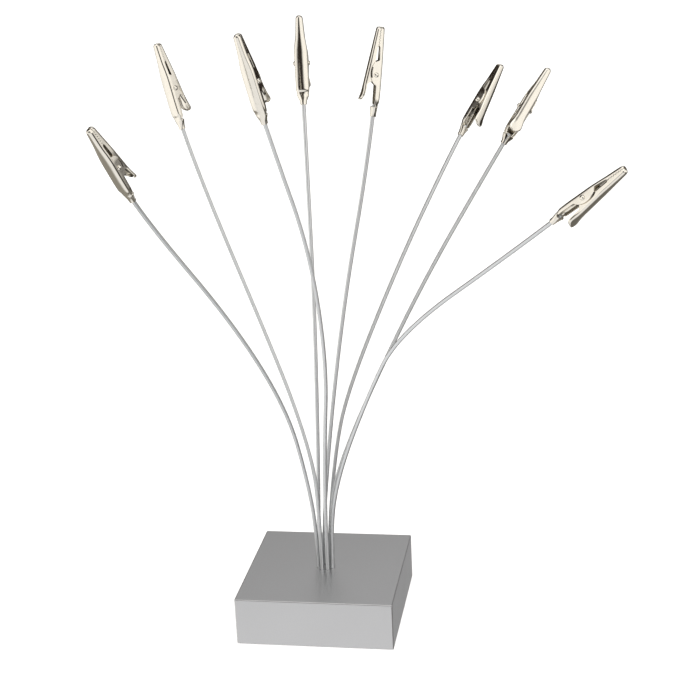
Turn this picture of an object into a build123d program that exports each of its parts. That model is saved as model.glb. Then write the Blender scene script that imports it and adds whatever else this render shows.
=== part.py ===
from build123d import *
import math
import os

# Photo tree stand: a heavy square base, eight bent wire arms set in a ring of holes,
# and a small sprung jaw clip crimped on the end of each arm.
# Millimetres, +Z up, the origin is the centre of the underside that the stand rests on.

# Base block and the pad under it
base_width = 65.0
base_height = 20.2
base_edge_bevel = 0.3
pad_thickness = 1.0
pad_recess = 0.7
pad_margin = 3.5
pad_corner_radius = 2.5
pad_side_gap = 0.1

# Ring of holes that holds the feet of the wires
arm_count = 8
hole_ring_radius = 3.0
hole_depth = 14.0
hole_clearance = 0.03
foot_end_gap = 0.2

# Wire arms
wire_diameter = 1.6
arm_length = 228.0
wire_grip = 4.6
bend_share = 0.45

# Clip: overall sizes, from the pivot pin forward to the tip and back to the barrel
pin_to_tip = 18.7
pin_to_barrel_end = 16.3
sheet = 0.45
cut_overrun = 3.0
inner_half_least = 0.15
corner_width_share = 0.95

# Flat sides and facets that stand for rounds on the small, repeated pieces
round_sides = 8
wire_sides = 7
spring_sides = 3
corner_facets = 2
tip_facets = 2

# Points along the spring at which its gap to itself is measured
measure_points = 400

# Fixed jaw, the outer channel that carries the pin and is crimped on the wire
clip_width = 5.4
fixed_tip_width = 2.7
fixed_neck_width = 3.0
fixed_tip_depth = 1.65
fixed_pin_depth = 2.55
fixed_tail_depth = 2.75
fixed_corner_radius = 1.0
flare_front = 10.9
flare_rear = 7.4
tail_full_rear = 7.8
tail_taper_middle = 10.4
tail_taper_rear = 12.0
tail_middle_width = 4.5
tail_end_width = 2.86
wire_drop = 1.0

# Ears of the fixed jaw, beside the moving jaw
ear_height = 2.2
ear_front = 4.9
ear_front_height = 0.95
ear_front_foot = 5.6
ear_top_offset = 0.5
ear_rear = 3.1
ear_rear_height = 0.95
ear_rear_foot = 4.2
ear_rear_foot_depth = 0.25
tail_rim_depth = 0.6

# Crimp barrel
barrel_length = 3.5
barrel_notch = 0.9
barrel_clearance = 0.03
barrel_seam_angle = 80.0

# Moving jaw, the inner channel with the thumb paddle
moving_tip_width = 2.6
moving_neck_width = 2.84
moving_neck_front = 12.0
moving_full_front = 5.3
moving_tip_height = 1.6
moving_pin_height = 3.9
moving_corner_radius = 0.85
moving_side_gap = 0.1
moving_floor_gap = 0.35
lobe_end_angle = 37.0
lobe_front = 3.0
lobe_front_height = 0.2
lobe_rear = 2.4
lobe_rear_height = 0.9

# The slot that stays open between the shut jaws, from the ears forward to the teeth
slot_rear = 5.4
slot_front = 10.8
slot_rear_rise = 0.5
slot_front_rise = 0.2
slot_rear_drop = 0.5
slot_front_drop = 0.4

# Thumb paddle, the rear of the moving jaw
paddle_notch = 3.6
paddle_notch_height = 2.75
paddle_front = 3.5
paddle_flare = 6.0
paddle_full = 8.1
paddle_end = 10.2
paddle_flare_width = 4.9
paddle_width = 5.5
paddle_kick = 0.55
paddle_wall_rear = 7.3
paddle_wall_height = 3.55
paddle_wall_end = 8.9
paddle_end_height = 4.15
paddle_lip = 0.7

# Teeth along both jaws
tooth_count = 6
tooth_pitch = 1.05
tooth_depth = 0.44
teeth_front = 17.6
parting_gap = 0.12
tip_corner_radius = 0.9
tip_plan_radius = 1.15

# Pivot pin, a rivet with two domed heads
pin_diameter = 1.3
pin_head_diameter = 2.3
pin_head_height = 0.5
pin_head_angles = (0, 35, 65)
pin_fixed_clearance = 0.02
pin_running_clearance = 0.06

# Torsion spring round the pin
spring_wire = 0.5
spring_play = 0.35
spring_pitch = 1.0
spring_full_turns = 1
spring_leg_reach = 7.0
spring_seat_gap = 0.05

# Stations along a rounded end, as shares of the end's own length
nose_station_shares = (0.0, 0.3, 1.0)
paddle_station_shares = (0.06, 0.35, 1.0)

# Each arm: its hole, counted round the ring from the front right, the corners of its route
# above the base as shares of the arm's length, and the clip's turn about the wire
arms = {
    1: {
        "hole": 4,
        "corner_shares": (
            (-0.023, -0.017, 0.184),
            (-0.045, -0.051, 0.330),
            (-0.108, -0.133, 0.512),
            (-0.209, -0.251, 0.722),
            (-0.219, -0.276, 0.760),
        ),
        "rise_share": 0.069,
        "clip_turn": -2.0,
    },
    2: {
        "hole": 5,
        "corner_shares": (
            (-0.011, -0.010, 0.201),
            (-0.035, -0.005, 0.299),
            (-0.072, 0.003, 0.409),
            (-0.209, 0.066, 0.737),
            (-0.228, 0.069, 0.808),
        ),
        "rise_share": 0.129,
        "clip_turn": 64.0,
    },
    3: {
        "hole": 6,
        "corner_shares": (
            (0.012, -0.016, 0.243),
            (0.027, -0.030, 0.413),
            (0.011, -0.054, 0.622),
            (-0.032, -0.091, 0.799),
            (-0.042, -0.100, 0.845),
        ),
        "rise_share": 0.066,
        "clip_turn": 32.0,
    },
    4: {
        "hole": 3,
        "corner_shares": (
            (-0.007, 0.010, 0.175),
            (-0.004, 0.022, 0.341),
            (-0.004, 0.041, 0.503),
            (-0.007, 0.058, 0.707),
            (-0.013, 0.087, 0.844),
        ),
        "rise_share": 0.044,
        "clip_turn": 173.0,
    },
    5: {
        "hole": 2,
        "corner_shares": (
            (0.010, 0.019, 0.204),
            (0.029, 0.032, 0.359),
            (0.056, 0.053, 0.537),
            (0.093, 0.084, 0.728),
            (0.106, 0.096, 0.820),
        ),
        "rise_share": 0.052,
        "clip_turn": -25.0,
    },
    6: {
        "hole": 1,
        "corner_shares": (
            (0.022, 0.030, 0.216),
            (0.046, 0.057, 0.328),
            (0.139, 0.141, 0.550),
            (0.229, 0.225, 0.732),
            (0.244, 0.241, 0.758),
        ),
        "rise_share": 0.046,
        "clip_turn": 102.0,
    },
    7: {
        "hole": 0,
        "corner_shares": (
            (0.025, 0.011, 0.179),
            (0.083, 0.033, 0.318),
            (0.185, 0.090, 0.522),
            (0.301, 0.164, 0.714),
            (0.326, 0.176, 0.754),
        ),
        "rise_share": 0.095,
        "clip_turn": 72.0,
    },
    8: {
        "hole": 7,
        "corner_shares": (
            (0.033, -0.008, 0.188),
            (0.093, -0.018, 0.341),
            (0.155, -0.041, 0.469),
            (0.363, -0.102, 0.635),
            (0.420, -0.120, 0.684),
        ),
        "rise_share": 0.073,
        "clip_turn": 153.0,
    },
}

# Sizes worked out from the ones above
wire_radius = wire_diameter / 2
pin_radius = pin_diameter / 2
base_bottom = pad_thickness - pad_recess
base_top = base_bottom + base_height
pad_width = base_width - 2 * pad_margin
fixed_half = clip_width / 2
moving_half = fixed_half - sheet - moving_side_gap
lobe_radius = fixed_pin_depth - sheet - moving_floor_gap
barrel_bore = wire_radius + barrel_clearance
barrel_radius = barrel_bore + sheet
barrel_depth = wire_drop + barrel_radius
spring_wire_radius = spring_wire / 2
coil_radius = pin_radius + spring_play + spring_wire_radius
moving_slope = (moving_pin_height - moving_tip_height) / pin_to_tip
nose_rear = pin_to_tip - tip_plan_radius
hole_step = 360 / arm_count


# The height of the fixed jaw's spine at a place along the clip
def fixed_spine(x):
    if x >= 0:
        return -fixed_pin_depth + (fixed_pin_depth - fixed_tip_depth) * x / pin_to_tip
    if x >= -tail_full_rear:
        return -fixed_pin_depth + (fixed_tail_depth - fixed_pin_depth) * x / tail_full_rear
    run = tail_taper_rear - tail_full_rear
    return -fixed_tail_depth + (fixed_tail_depth - barrel_depth) * min(1, (-x - tail_full_rear) / run)


# The height of the moving jaw's spine, which kicks up over the last of the paddle
def moving_spine(x):
    straight = moving_pin_height - moving_slope * x
    behind = max(0, -x - paddle_flare) / (paddle_end - paddle_flare)
    return straight + paddle_kick * behind**2


# Points along a quarter round, from one end of it to the other
def quarter_points(centre, radius, from_angle, to_angle, facets):
    points = []
    for facet in range(facets + 1):
        angle = math.radians(from_angle + (to_angle - from_angle) * facet / facets)
        points.append((centre[0] + radius * math.cos(angle), centre[1] + radius * math.sin(angle)))
    return points


# The corners of one cross-section of a channel: square at the rim, rounded at the spine
def outer_section(x, half_width, spine, rim, corner):
    up = 1 if rim > spine else -1
    flat = half_width - corner
    low = spine + up * corner
    left = quarter_points((-flat, low), corner, 180, 180 + up * 90, corner_facets)
    right = quarter_points((flat, low), corner, -up * 90, 0, corner_facets)
    outline = [(-half_width, rim), *left, *right, (half_width, rim)]
    return [(x, y, z) for y, z in outline]


# The corners of the space inside the channel at the same place
def inner_section(x, half_width, spine, rim):
    return [(x, -half_width, rim), (x, -half_width, spine), (x, half_width, spine), (x, half_width, rim)]


# A solid of flat faces through cross-sections whose sides are parallel from one to the next
def flat_sided_body(sections):
    faces = [make_face(Polyline(*sections[0], close=True)), make_face(Polyline(*sections[-1], close=True))]
    for near, far in zip(sections, sections[1:]):
        for corner in range(len(near)):
            before = corner - 1
            side = Polyline(near[before], near[corner], far[corner], far[before], close=True)
            faces.append(make_face(side))
    return Solid(Shell([face.face() for face in faces]))


# A pressed channel, open at the rear and shut at the nose: the outer form less the same form
# one sheet further in. It opens upwards where its rim is above the pin, and else downwards
def pressed_channel(stations, spine_at, rim, corner):
    up = 1 if rim > 0 else -1
    outer = []
    hollow = []
    for number, (x, half_width) in enumerate(stations):
        radius = min(corner, half_width * corner_width_share)
        spine = spine_at(x)
        outer.append(outer_section(x, half_width, spine, rim, radius))
        inner_half = max(half_width - sheet, inner_half_least)
        place = x - sheet * max(0, x - nose_rear) / tip_plan_radius
        if number == 0:
            place = x - cut_overrun
        hollow.append(inner_section(place, inner_half, spine + up * sheet, rim + up * cut_overrun))
    return flat_sided_body(outer) - flat_sided_body(hollow)


# Half widths along a nose that is rounded in plan, as far as the jaw's width allows
def nose_stations(tip_x, half_width, radius):
    radius = min(radius, half_width - inner_half_least)
    stations = []
    for share in reversed(nose_station_shares):
        back = radius * share
        drop = radius - math.sqrt(radius**2 - (radius - back) ** 2)
        stations.append((tip_x - back, half_width - drop))
    return stations


# A flat outline in the clip's side view, as a slab across the whole clip
def side_slab(edges):
    return extrude(Plane.XZ * make_face(edges), amount=clip_width, both=True)


# The toothed stretch of a jaw's edge, from the rear tooth to the front one
def tooth_points(height):
    rear = teeth_front - tooth_count * tooth_pitch
    points = [(rear, height)]
    for tooth in range(tooth_count):
        start = rear + tooth * tooth_pitch
        points.append((start + tooth_pitch / 4, height + tooth_depth / 2))
        points.append((start + tooth_pitch * 3 / 4, height - tooth_depth / 2))
    points.append((teeth_front, height))
    return points


# A hole across the clip for the pin, whose flats clear the pin's own corners
def pin_hole(clearance):
    outline = RegularPolygon(pin_radius + clearance, round_sides, major_radius=False)
    return Plane.XZ * extrude(outline, amount=clip_width, both=True)


# The crimp barrel: a tube round the wire, open along a seam on top
def crimp_barrel():
    mouth = Plane(origin=(-pin_to_barrel_end, 0, -wire_drop), x_dir=(0, 1, 0), z_dir=(1, 0, 0))
    tube = extrude(RegularPolygon(barrel_radius, round_sides), amount=barrel_length)
    reach = 2 * barrel_radius
    side = reach * math.tan(math.radians(barrel_seam_angle / 2))
    seam = make_face(Polyline((0, 0), (side, reach), (-side, reach), close=True))
    return mouth * (tube - extrude(seam, amount=barrel_length))


# The space for the wire through the barrel and the jaw's neck
def wire_bore():
    mouth = Plane(origin=(-pin_to_barrel_end, 0, -wire_drop), x_dir=(0, 1, 0), z_dir=(1, 0, 0))
    outline = RegularPolygon(barrel_bore, round_sides, major_radius=False)
    return mouth * extrude(outline, amount=wire_grip + sheet)


# The fixed jaw: tapered nose, flared body with two ears, tail and crimp barrel
def fixed_jaw():
    neck_rear = -pin_to_barrel_end + barrel_length
    neck_front = neck_rear + barrel_notch
    stations = [
        (neck_rear - sheet, barrel_radius),
        (-tail_taper_rear, tail_end_width / 2),
        (-tail_taper_middle, tail_middle_width / 2),
        (-tail_full_rear, fixed_half),
        (flare_rear, fixed_half),
        (flare_front, fixed_neck_width / 2),
    ]
    stations += nose_stations(pin_to_tip, fixed_tip_width / 2, tip_plan_radius)
    body = pressed_channel(stations, fixed_spine, ear_height + sheet, fixed_corner_radius)

    edge = -parting_gap / 2
    below = -fixed_tail_depth - sheet
    tip_back = pin_to_tip - tip_corner_radius
    tip_centre = (tip_back, fixed_spine(tip_back) + tip_corner_radius)
    nose = quarter_points(tip_centre, tip_corner_radius, 0, -90, tip_facets)
    ear_start = (-ear_rear, ear_rear_height)
    ear_stop = (ear_front, ear_front_height)
    slot_edge = [(ear_front_foot, -slot_rear_drop), (slot_front, -slot_front_drop)]
    outline = [
        Polyline(nose[-1], (tip_back, below), (neck_rear - sheet, below), (neck_rear - sheet, -wire_drop)),
        Polyline((neck_rear - sheet, -wire_drop), (neck_front, -wire_drop), (neck_front, -tail_rim_depth)),
        Polyline((neck_front, -tail_rim_depth), (-ear_rear_foot, -ear_rear_foot_depth), ear_start),
        ThreePointArc(ear_start, (ear_top_offset, ear_height), ear_stop),
        Polyline(ear_stop, *slot_edge, *tooth_points(edge), (pin_to_tip, edge), *nose),
    ]
    body = body & side_slab(outline)
    body = body + crimp_barrel() - wire_bore()
    return body - pin_hole(pin_fixed_clearance)


# The moving jaw: nose, inner lobes round the pin, and the thumb paddle
def moving_jaw():
    stations = []
    paddle_round = paddle_end - paddle_full
    for share in paddle_station_shares:
        half_width = paddle_width / 2 * math.sqrt(1 - (1 - share) ** 2)
        stations.append((-paddle_end + paddle_round * share, half_width))
    stations += [
        (-paddle_flare, paddle_flare_width / 2),
        (-paddle_front, moving_half),
        (moving_full_front, moving_half),
        (moving_neck_front, moving_neck_width / 2),
    ]
    stations += nose_stations(pin_to_tip, moving_tip_width / 2, tip_plan_radius)
    body = pressed_channel(stations, moving_spine, -lobe_radius - sheet, moving_corner_radius)

    edge = parting_gap / 2
    above = moving_spine(-paddle_end) + sheet
    tip_back = pin_to_tip - tip_corner_radius
    tip_centre = (tip_back, moving_spine(tip_back) - tip_corner_radius)
    nose = quarter_points(tip_centre, tip_corner_radius, 0, 90, tip_facets)
    lobe_x = lobe_radius * math.cos(math.radians(lobe_end_angle))
    lobe_z = -lobe_radius * math.sin(math.radians(lobe_end_angle))
    paddle_edge = [
        (-paddle_end, moving_spine(-paddle_end) - paddle_lip),
        (-paddle_wall_end, paddle_end_height),
        (-paddle_wall_rear, paddle_wall_height),
        (-paddle_notch, paddle_notch_height),
        (-lobe_rear, lobe_rear_height),
        (-lobe_x, lobe_z),
    ]
    slot_edge = [
        (lobe_x, lobe_z),
        (lobe_front, lobe_front_height),
        (slot_rear, slot_rear_rise),
        (slot_front, slot_front_rise),
    ]
    outline = [
        Polyline(nose[-1], (tip_back, above), (-paddle_end, above), *paddle_edge),
        ThreePointArc((-lobe_x, lobe_z), (0, -lobe_radius), (lobe_x, lobe_z)),
        Polyline(*slot_edge, *tooth_points(edge), (pin_to_tip, edge), *nose),
    ]
    body = body & side_slab(outline)
    return body - pin_hole(pin_running_clearance)


# The rivet that both jaws hang on, with a domed head at each end
def pivot_pin():
    half = fixed_half + pin_fixed_clearance
    shaft = extrude(RegularPolygon(pin_radius, round_sides), amount=half, both=True)
    rings = []
    for angle in pin_head_angles:
        radius = pin_head_diameter / 2 * math.cos(math.radians(angle))
        height = half + pin_head_height * math.sin(math.radians(angle))
        turns = [2 * math.pi * side / round_sides for side in range(round_sides)]
        rings.append([(radius * math.cos(turn), radius * math.sin(turn), height) for turn in turns])
    head = flat_sided_body(rings)
    return Plane.XZ * (shaft + head + mirror(head, about=Plane.XY))


# Two arcs that leave one point along a direction and reach another along a direction
def biarc(start, start_way, stop, stop_way):
    gap = stop - start
    both = start_way + stop_way
    spread = 2 * (1 - start_way.dot(stop_way))
    along = gap.dot(both)
    reach = (math.sqrt(along**2 + spread * gap.dot(gap)) - along) / spread
    first = start + start_way * reach
    second = stop - stop_way * reach
    middle = (first + second) * 0.5
    way = (second - first).normalized()
    return [TangentArc(start, middle, tangent=start_way), TangentArc(middle, stop, tangent=way)]


# The angle round the coil at which a leg from a far point touches it
def leg_angle(x, z, side):
    far = math.hypot(x, z)
    return math.atan2(z, x) + side * math.acos(coil_radius / far)


# The torsion spring: a leg on the tail's floor, the coil, and a leg under the paddle
def spring_path():
    floor = fixed_spine(-spring_leg_reach) + sheet + spring_wire_radius + spring_seat_gap
    roof = moving_spine(-spring_leg_reach) - sheet - spring_wire_radius - spring_seat_gap
    first = leg_angle(-spring_leg_reach, floor, 1)
    if first > 0:
        first -= 2 * math.pi
    last = leg_angle(-spring_leg_reach, roof, -1) + spring_full_turns * 2 * math.pi
    turns = (last - first) / (2 * math.pi)
    half_span = spring_pitch * turns / 2
    steps = math.ceil((last - first) / math.pi)
    nodes = []
    ways = []
    for step in range(steps + 1):
        share = step / steps
        angle = first + (last - first) * share
        y = -half_span + 2 * half_span * share
        nodes.append(Vector(coil_radius * math.cos(angle), y, coil_radius * math.sin(angle)))
        climb = 0 if step in (0, steps) else spring_pitch / (2 * math.pi)
        ways.append(Vector(-coil_radius * math.sin(angle), climb, coil_radius * math.cos(angle)).normalized())
    edges = [Line((-spring_leg_reach, -half_span, floor), nodes[0])]
    for step in range(steps):
        edges += biarc(nodes[step], ways[step], nodes[step + 1], ways[step + 1])
    edges.append(Line(nodes[-1], (-spring_leg_reach, half_span, roof)))
    return Wire(edges)


def jaw_spring():
    path = spring_path()
    start = Plane(origin=path @ 0, z_dir=path % 0)
    return sweep(start * RegularPolygon(spring_wire_radius, spring_sides), path=path)


# The least space between two turns of the spring, measured on points along its middle
def spring_least_gap():
    path = spring_path()
    points = [path @ (number / measure_points) for number in range(measure_points + 1)]
    apart = path.length / measure_points
    skip = math.ceil(math.pi * coil_radius / apart)
    least = path.length
    for number, point in enumerate(points):
        for other in points[number + skip :]:
            least = min(least, (point - other).length)
    return least - spring_wire


def foot_point(arm):
    angle = math.radians(hole_step / 2 + arm["hole"] * hole_step)
    return Vector(hole_ring_radius * math.cos(angle), hole_ring_radius * math.sin(angle), base_top)


# The corners of an arm's route, from the base's top to the mouth of the clip's barrel
def route_corners(arm):
    foot = foot_point(arm)
    corners = [foot, foot + Vector(0, 0, arm["rise_share"] * arm_length)]
    for x_share, y_share, z_share in arm["corner_shares"]:
        corners.append(Vector(x_share, y_share, z_share) * arm_length + Vector(0, 0, base_top))
    return corners


# The largest arc that the two runs at each corner allow
def corner_radii(corners):
    radii = []
    for before, corner, after in zip(corners, corners[1:], corners[2:]):
        run_in = corner - before
        run_out = after - corner
        half_turn = math.radians(run_in.get_angle(run_out)) / 2
        radii.append(bend_share * min(run_in.length, run_out.length) / math.tan(half_turn))
    return radii


def wire_path(arm):
    corners = route_corners(arm)
    radii = corner_radii(corners)
    deep = corners[0] - Vector(0, 0, hole_depth - foot_end_gap)
    way = (corners[-1] - corners[-2]).normalized()
    end = corners[-1] + way * wire_grip
    return FilletPolyline(deep, *corners[1:-1], end, radius=radii)


def arm_wire(arm):
    path = wire_path(arm)
    start = Plane(origin=path @ 0, z_dir=path % 0)
    return sweep(start * RegularPolygon(wire_radius, wire_sides), path=path)


# Where a clip sits: its barrel's mouth on the end of the route, turned about the wire
def clip_plane(arm):
    corners = route_corners(arm)
    way = (corners[-1] - corners[-2]).normalized()
    up = (Vector(0, 0, 1) - way * way.Z).normalized()
    jaw_side = up.rotate(Axis((0, 0, 0), way), arm["clip_turn"])
    pin = corners[-1] + way * pin_to_barrel_end + jaw_side * wire_drop
    return Plane(origin=pin, x_dir=way, z_dir=jaw_side)


def base_block():
    centre = (Align.CENTER, Align.CENTER, Align.MIN)
    block = Box(base_width, base_width, base_height, align=centre)
    block = chamfer(block.edges(), base_edge_bevel)
    block = Pos(0, 0, base_bottom) * block
    recess_width = pad_width + 2 * pad_side_gap
    outline = RectangleRounded(recess_width, recess_width, pad_corner_radius + pad_side_gap)
    block -= Pos(0, 0, base_bottom) * extrude(outline, amount=pad_recess)
    hole = RegularPolygon(wire_radius + hole_clearance, round_sides, major_radius=False)
    for arm in arms.values():
        block -= Pos(*foot_point(arm)) * extrude(hole, amount=hole_depth, both=True)
    return block


def base_pad():
    outline = RectangleRounded(pad_width, pad_width, pad_corner_radius)
    return extrude(outline, amount=pad_thickness)


def make_parts():
    parts = {"base_block": base_block(), "base_pad": base_pad()}
    clip = {
        "fixed_jaw": fixed_jaw(),
        "moving_jaw": moving_jaw(),
        "pivot_pin": pivot_pin(),
        "jaw_spring": jaw_spring(),
    }
    for number, arm in arms.items():
        parts[f"arm_wire_{number}"] = arm_wire(arm)
        place = clip_plane(arm)
        for name, piece in clip.items():
            parts[f"{name}_{number}"] = place.location * piece
    return parts


def print_checks(parts):
    print("spring: least gap to itself", round(spring_least_gap(), 3))
    for number, arm in arms.items():
        path = wire_path(arm)
        section = RegularPolygon(wire_radius, wire_sides).area
        share = parts[f"arm_wire_{number}"].volume / (section * path.length)
        radii = [round(radius, 1) for radius in corner_radii(route_corners(arm))]
        print(f"arm {number}: length {path.length:.1f}, volume share {share:.4f}, radii {radii}")


def main():
    os.makedirs("parts", exist_ok=True)
    parts = make_parts()
    for name, piece in parts.items():
        export_step(piece, f"parts/{name}.step")
    print_checks(parts)


main()
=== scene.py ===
import math

import bmesh
import bpy
from mathutils import Matrix, Vector


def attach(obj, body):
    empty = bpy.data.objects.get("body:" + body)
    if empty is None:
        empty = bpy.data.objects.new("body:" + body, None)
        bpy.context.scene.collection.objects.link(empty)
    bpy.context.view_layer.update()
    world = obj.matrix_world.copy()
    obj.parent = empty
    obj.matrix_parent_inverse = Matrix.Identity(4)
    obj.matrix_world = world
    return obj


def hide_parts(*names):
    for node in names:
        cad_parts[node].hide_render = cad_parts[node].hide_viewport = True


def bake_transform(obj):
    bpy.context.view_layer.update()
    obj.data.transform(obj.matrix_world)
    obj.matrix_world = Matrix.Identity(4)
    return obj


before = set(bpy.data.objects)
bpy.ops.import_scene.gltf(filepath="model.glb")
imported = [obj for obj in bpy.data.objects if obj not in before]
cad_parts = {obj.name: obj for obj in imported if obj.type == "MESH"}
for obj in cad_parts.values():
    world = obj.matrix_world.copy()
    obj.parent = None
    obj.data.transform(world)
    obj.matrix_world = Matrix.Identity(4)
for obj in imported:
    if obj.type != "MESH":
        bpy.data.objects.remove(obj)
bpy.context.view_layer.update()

# Photo tree stand: a square anodised base, eight bent steel wires, and a nickel-plated sprung
# clip on the end of each. Metres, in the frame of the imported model.
bl_info = {
    "name": "Photo tree stand",
    "version": (1, 0, 0),
    "blender": (4, 5, 0),
    "location": "View3D > Sidebar > Photo tree",
    "description": "A square metal base with eight bent wire arms and a sprung clip on each",
    "category": "Object",
}

ROOT_BODY = "stand"

# Small pieces are worked out in millimetres and scaled down once they are whole
MM = 0.001

# Each arm: its hole, counted round the ring from the front right, the height that the wire rises
# straight as a share of the arm's length, the clip's turn about the wire in degrees, and the
# corners of its route above the base as shares of the arm's length
ARMS = {
    1: (4, 0.069, -2.0, (
        (-0.023, -0.017, 0.184), (-0.045, -0.051, 0.330), (-0.108, -0.133, 0.512),
        (-0.209, -0.251, 0.722), (-0.219, -0.276, 0.760),
    )),
    2: (5, 0.129, 64.0, (
        (-0.011, -0.010, 0.201), (-0.035, -0.005, 0.299), (-0.072, 0.003, 0.409),
        (-0.209, 0.066, 0.737), (-0.228, 0.069, 0.808),
    )),
    3: (6, 0.066, 32.0, (
        (0.012, -0.016, 0.243), (0.027, -0.030, 0.413), (0.011, -0.054, 0.622),
        (-0.032, -0.091, 0.799), (-0.042, -0.100, 0.845),
    )),
    4: (3, 0.044, 173.0, (
        (-0.007, 0.010, 0.175), (-0.004, 0.022, 0.341), (-0.004, 0.041, 0.503),
        (-0.007, 0.058, 0.707), (-0.013, 0.087, 0.844),
    )),
    5: (2, 0.052, -25.0, (
        (0.010, 0.019, 0.204), (0.029, 0.032, 0.359), (0.056, 0.053, 0.537),
        (0.093, 0.084, 0.728), (0.106, 0.096, 0.820),
    )),
    6: (1, 0.046, 102.0, (
        (0.022, 0.030, 0.216), (0.046, 0.057, 0.328), (0.139, 0.141, 0.550),
        (0.229, 0.225, 0.732), (0.244, 0.241, 0.758),
    )),
    7: (0, 0.095, 72.0, (
        (0.025, 0.011, 0.179), (0.083, 0.033, 0.318), (0.185, 0.090, 0.522),
        (0.301, 0.164, 0.714), (0.326, 0.176, 0.754),
    )),
    8: (7, 0.073, 153.0, (
        (0.033, -0.008, 0.188), (0.093, -0.018, 0.341), (0.155, -0.041, 0.469),
        (0.363, -0.102, 0.635), (0.420, -0.120, 0.684),
    )),
}


def length_prop(name, description, default):
    """A length in metres, shown in the scene's unit."""
    return bpy.props.FloatProperty(
        name=name, description=description, default=default, min=0, unit="LENGTH", precision=5
    )


def angle_prop(name, description, degrees):
    """An angle, given in degrees."""
    return bpy.props.FloatProperty(
        name=name, description=description, default=math.radians(degrees), subtype="ANGLE"
    )


def linear_colour(code):
    """An sRGB hex colour as the linear RGBA that shaders take."""
    channels = [int(code[i : i + 2], 16) / 255 for i in (1, 3, 5)]
    return (*[c / 12.92 if c <= 0.04045 else ((c + 0.055) / 1.055) ** 2.4 for c in channels], 1.0)


def colour_prop(name, description, code):
    """A colour, given as sRGB hex and kept as linear."""
    return bpy.props.FloatVectorProperty(
        name=name,
        description=description,
        default=linear_colour(code),
        size=4,
        min=0,
        max=1,
        subtype="COLOR",
    )


class StandSizes(bpy.types.PropertyGroup):
    """Sizes of the base and the wires."""

    base_width: length_prop("Base width", "Side of the square base", 0.065)
    base_bottom: length_prop("Base bottom", "Height of the block above the table", 0.0003)
    base_top: length_prop("Base top", "Height of the base's top face", 0.0205)
    edge_round: length_prop("Edge round", "Radius of the base's broken edges", 0.0005)
    recess_width: length_prop("Recess width", "Side of the recess for the pad", 0.0582)
    recess_depth: length_prop("Recess depth", "Depth of the recess for the pad", 0.0007)
    ring_radius: length_prop("Hole ring radius", "Radius of the ring of holes", 0.003)
    hole_radius: length_prop("Hole radius", "Radius of each hole", 0.00083)
    hole_depth: length_prop("Hole depth", "Depth of each hole", 0.014)
    hole_rim: length_prop("Hole rim", "Width of the broken edge round each hole", 0.00018)
    wire_diameter: length_prop("Wire diameter", "Thickness of each arm's wire", 0.0016)
    foot_gap: length_prop("Foot gap", "Space under each wire in its hole", 0.0002)
    arm_length: length_prop(
        "Arm length", "From the base's top to a clip's tip, along the wire", 0.228
    )
    wire_grip: length_prop("Wire grip", "Length of wire inside the clip", 0.0046)


class ClipSizes(bpy.types.PropertyGroup):
    """Sizes of one sprung clip."""

    tip: length_prop("Tip", "From the pivot pin to the tip", 0.0186)
    barrel_end: length_prop("Barrel end", "From the pivot pin to the barrel's end", 0.0163)
    sheet: length_prop("Sheet", "Thickness of the pressed sheet", 0.00045)
    rim_round: length_prop("Rim round", "Radius of the sheet's edges", 0.00008)
    width: length_prop("Width", "Width over the fixed jaw", 0.0054)
    wire_drop: length_prop("Wire drop", "From the pivot pin's axis down to the wire's", 0.001)
    pin_radius: length_prop("Pin radius", "Radius of the pivot pin", 0.00065)
    head_radius: length_prop("Head radius", "Radius of the pin's heads", 0.001)
    head_height: length_prop("Head height", "Height of the pin's heads", 0.0007)
    spring_wire: length_prop("Spring wire", "Thickness of the spring's wire", 0.0005)
    coil_radius: length_prop(
        "Coil radius", "Radius of the spring's coil, to the wire's middle", 0.00125
    )
    coil_pitch: length_prop("Coil pitch", "Rise of the coil in one turn", 0.001)
    leg_reach: length_prop(
        "Leg reach", "From the pivot pin to the ends of the spring's legs", 0.007
    )


class StandColours(bpy.types.PropertyGroup):
    """Colours of the metals and the pad."""

    anodised: colour_prop("Anodised", "Satin silver anodised aluminium", "#cccccd")
    drawn_steel: colour_prop("Drawn steel", "Satin drawn steel wire", "#e0e2e4")
    nickel: colour_prop("Nickel", "Bright nickel plate, a little warm", "#e9e4da")
    spring_steel: colour_prop("Spring steel", "Plain spring wire", "#8a8885")
    rubber: colour_prop("Rubber", "Black sheet rubber", "#1d1e1f")
    paper: colour_prop("Paper", "White studio paper", "#f6f6f5")


class StageSettings(bpy.types.PropertyGroup):
    """The camera's place and the strength of the lights."""

    azimuth: angle_prop("Azimuth", "Camera's turn round the stand", 9.799)
    elevation: angle_prop("Elevation", "Camera's height as an angle", 18.584)
    roll: angle_prop("Roll", "Camera's turn about its own axis", -2.615)
    distance: length_prop(
        "Distance", "From the camera back to the stand's origin, along its axis", 0.64248
    )
    aim_right: length_prop(
        "Aim right", "How far the camera's axis passes right of the origin", 0.009289
    )
    aim_up: length_prop("Aim up", "How far the camera's axis passes above the origin", 0.11096)
    focal_mm: bpy.props.FloatProperty(
        name="Focal length",
        description="Lens in millimetres on a 36 mm square",
        default=77.14,
        min=1,
    )
    room_strength: bpy.props.FloatProperty(
        name="Room light", description="Strength of the studio's panels", default=1.0, min=0
    )
    panel_edge: bpy.props.FloatProperty(
        name="Panel edge",
        description="Degrees over which a panel fades out",
        default=14.0,
        min=1,
    )
    paper_reach: length_prop("Paper reach", "How far the white floor and sky reach", 6.0)


# Materials

# Sockets of a colour mix, whose names are shared with those of its other kinds
MIX_FACTOR = 0
MIX_A = 6
MIX_B = 7
MIX_RESULT = 2


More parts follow.
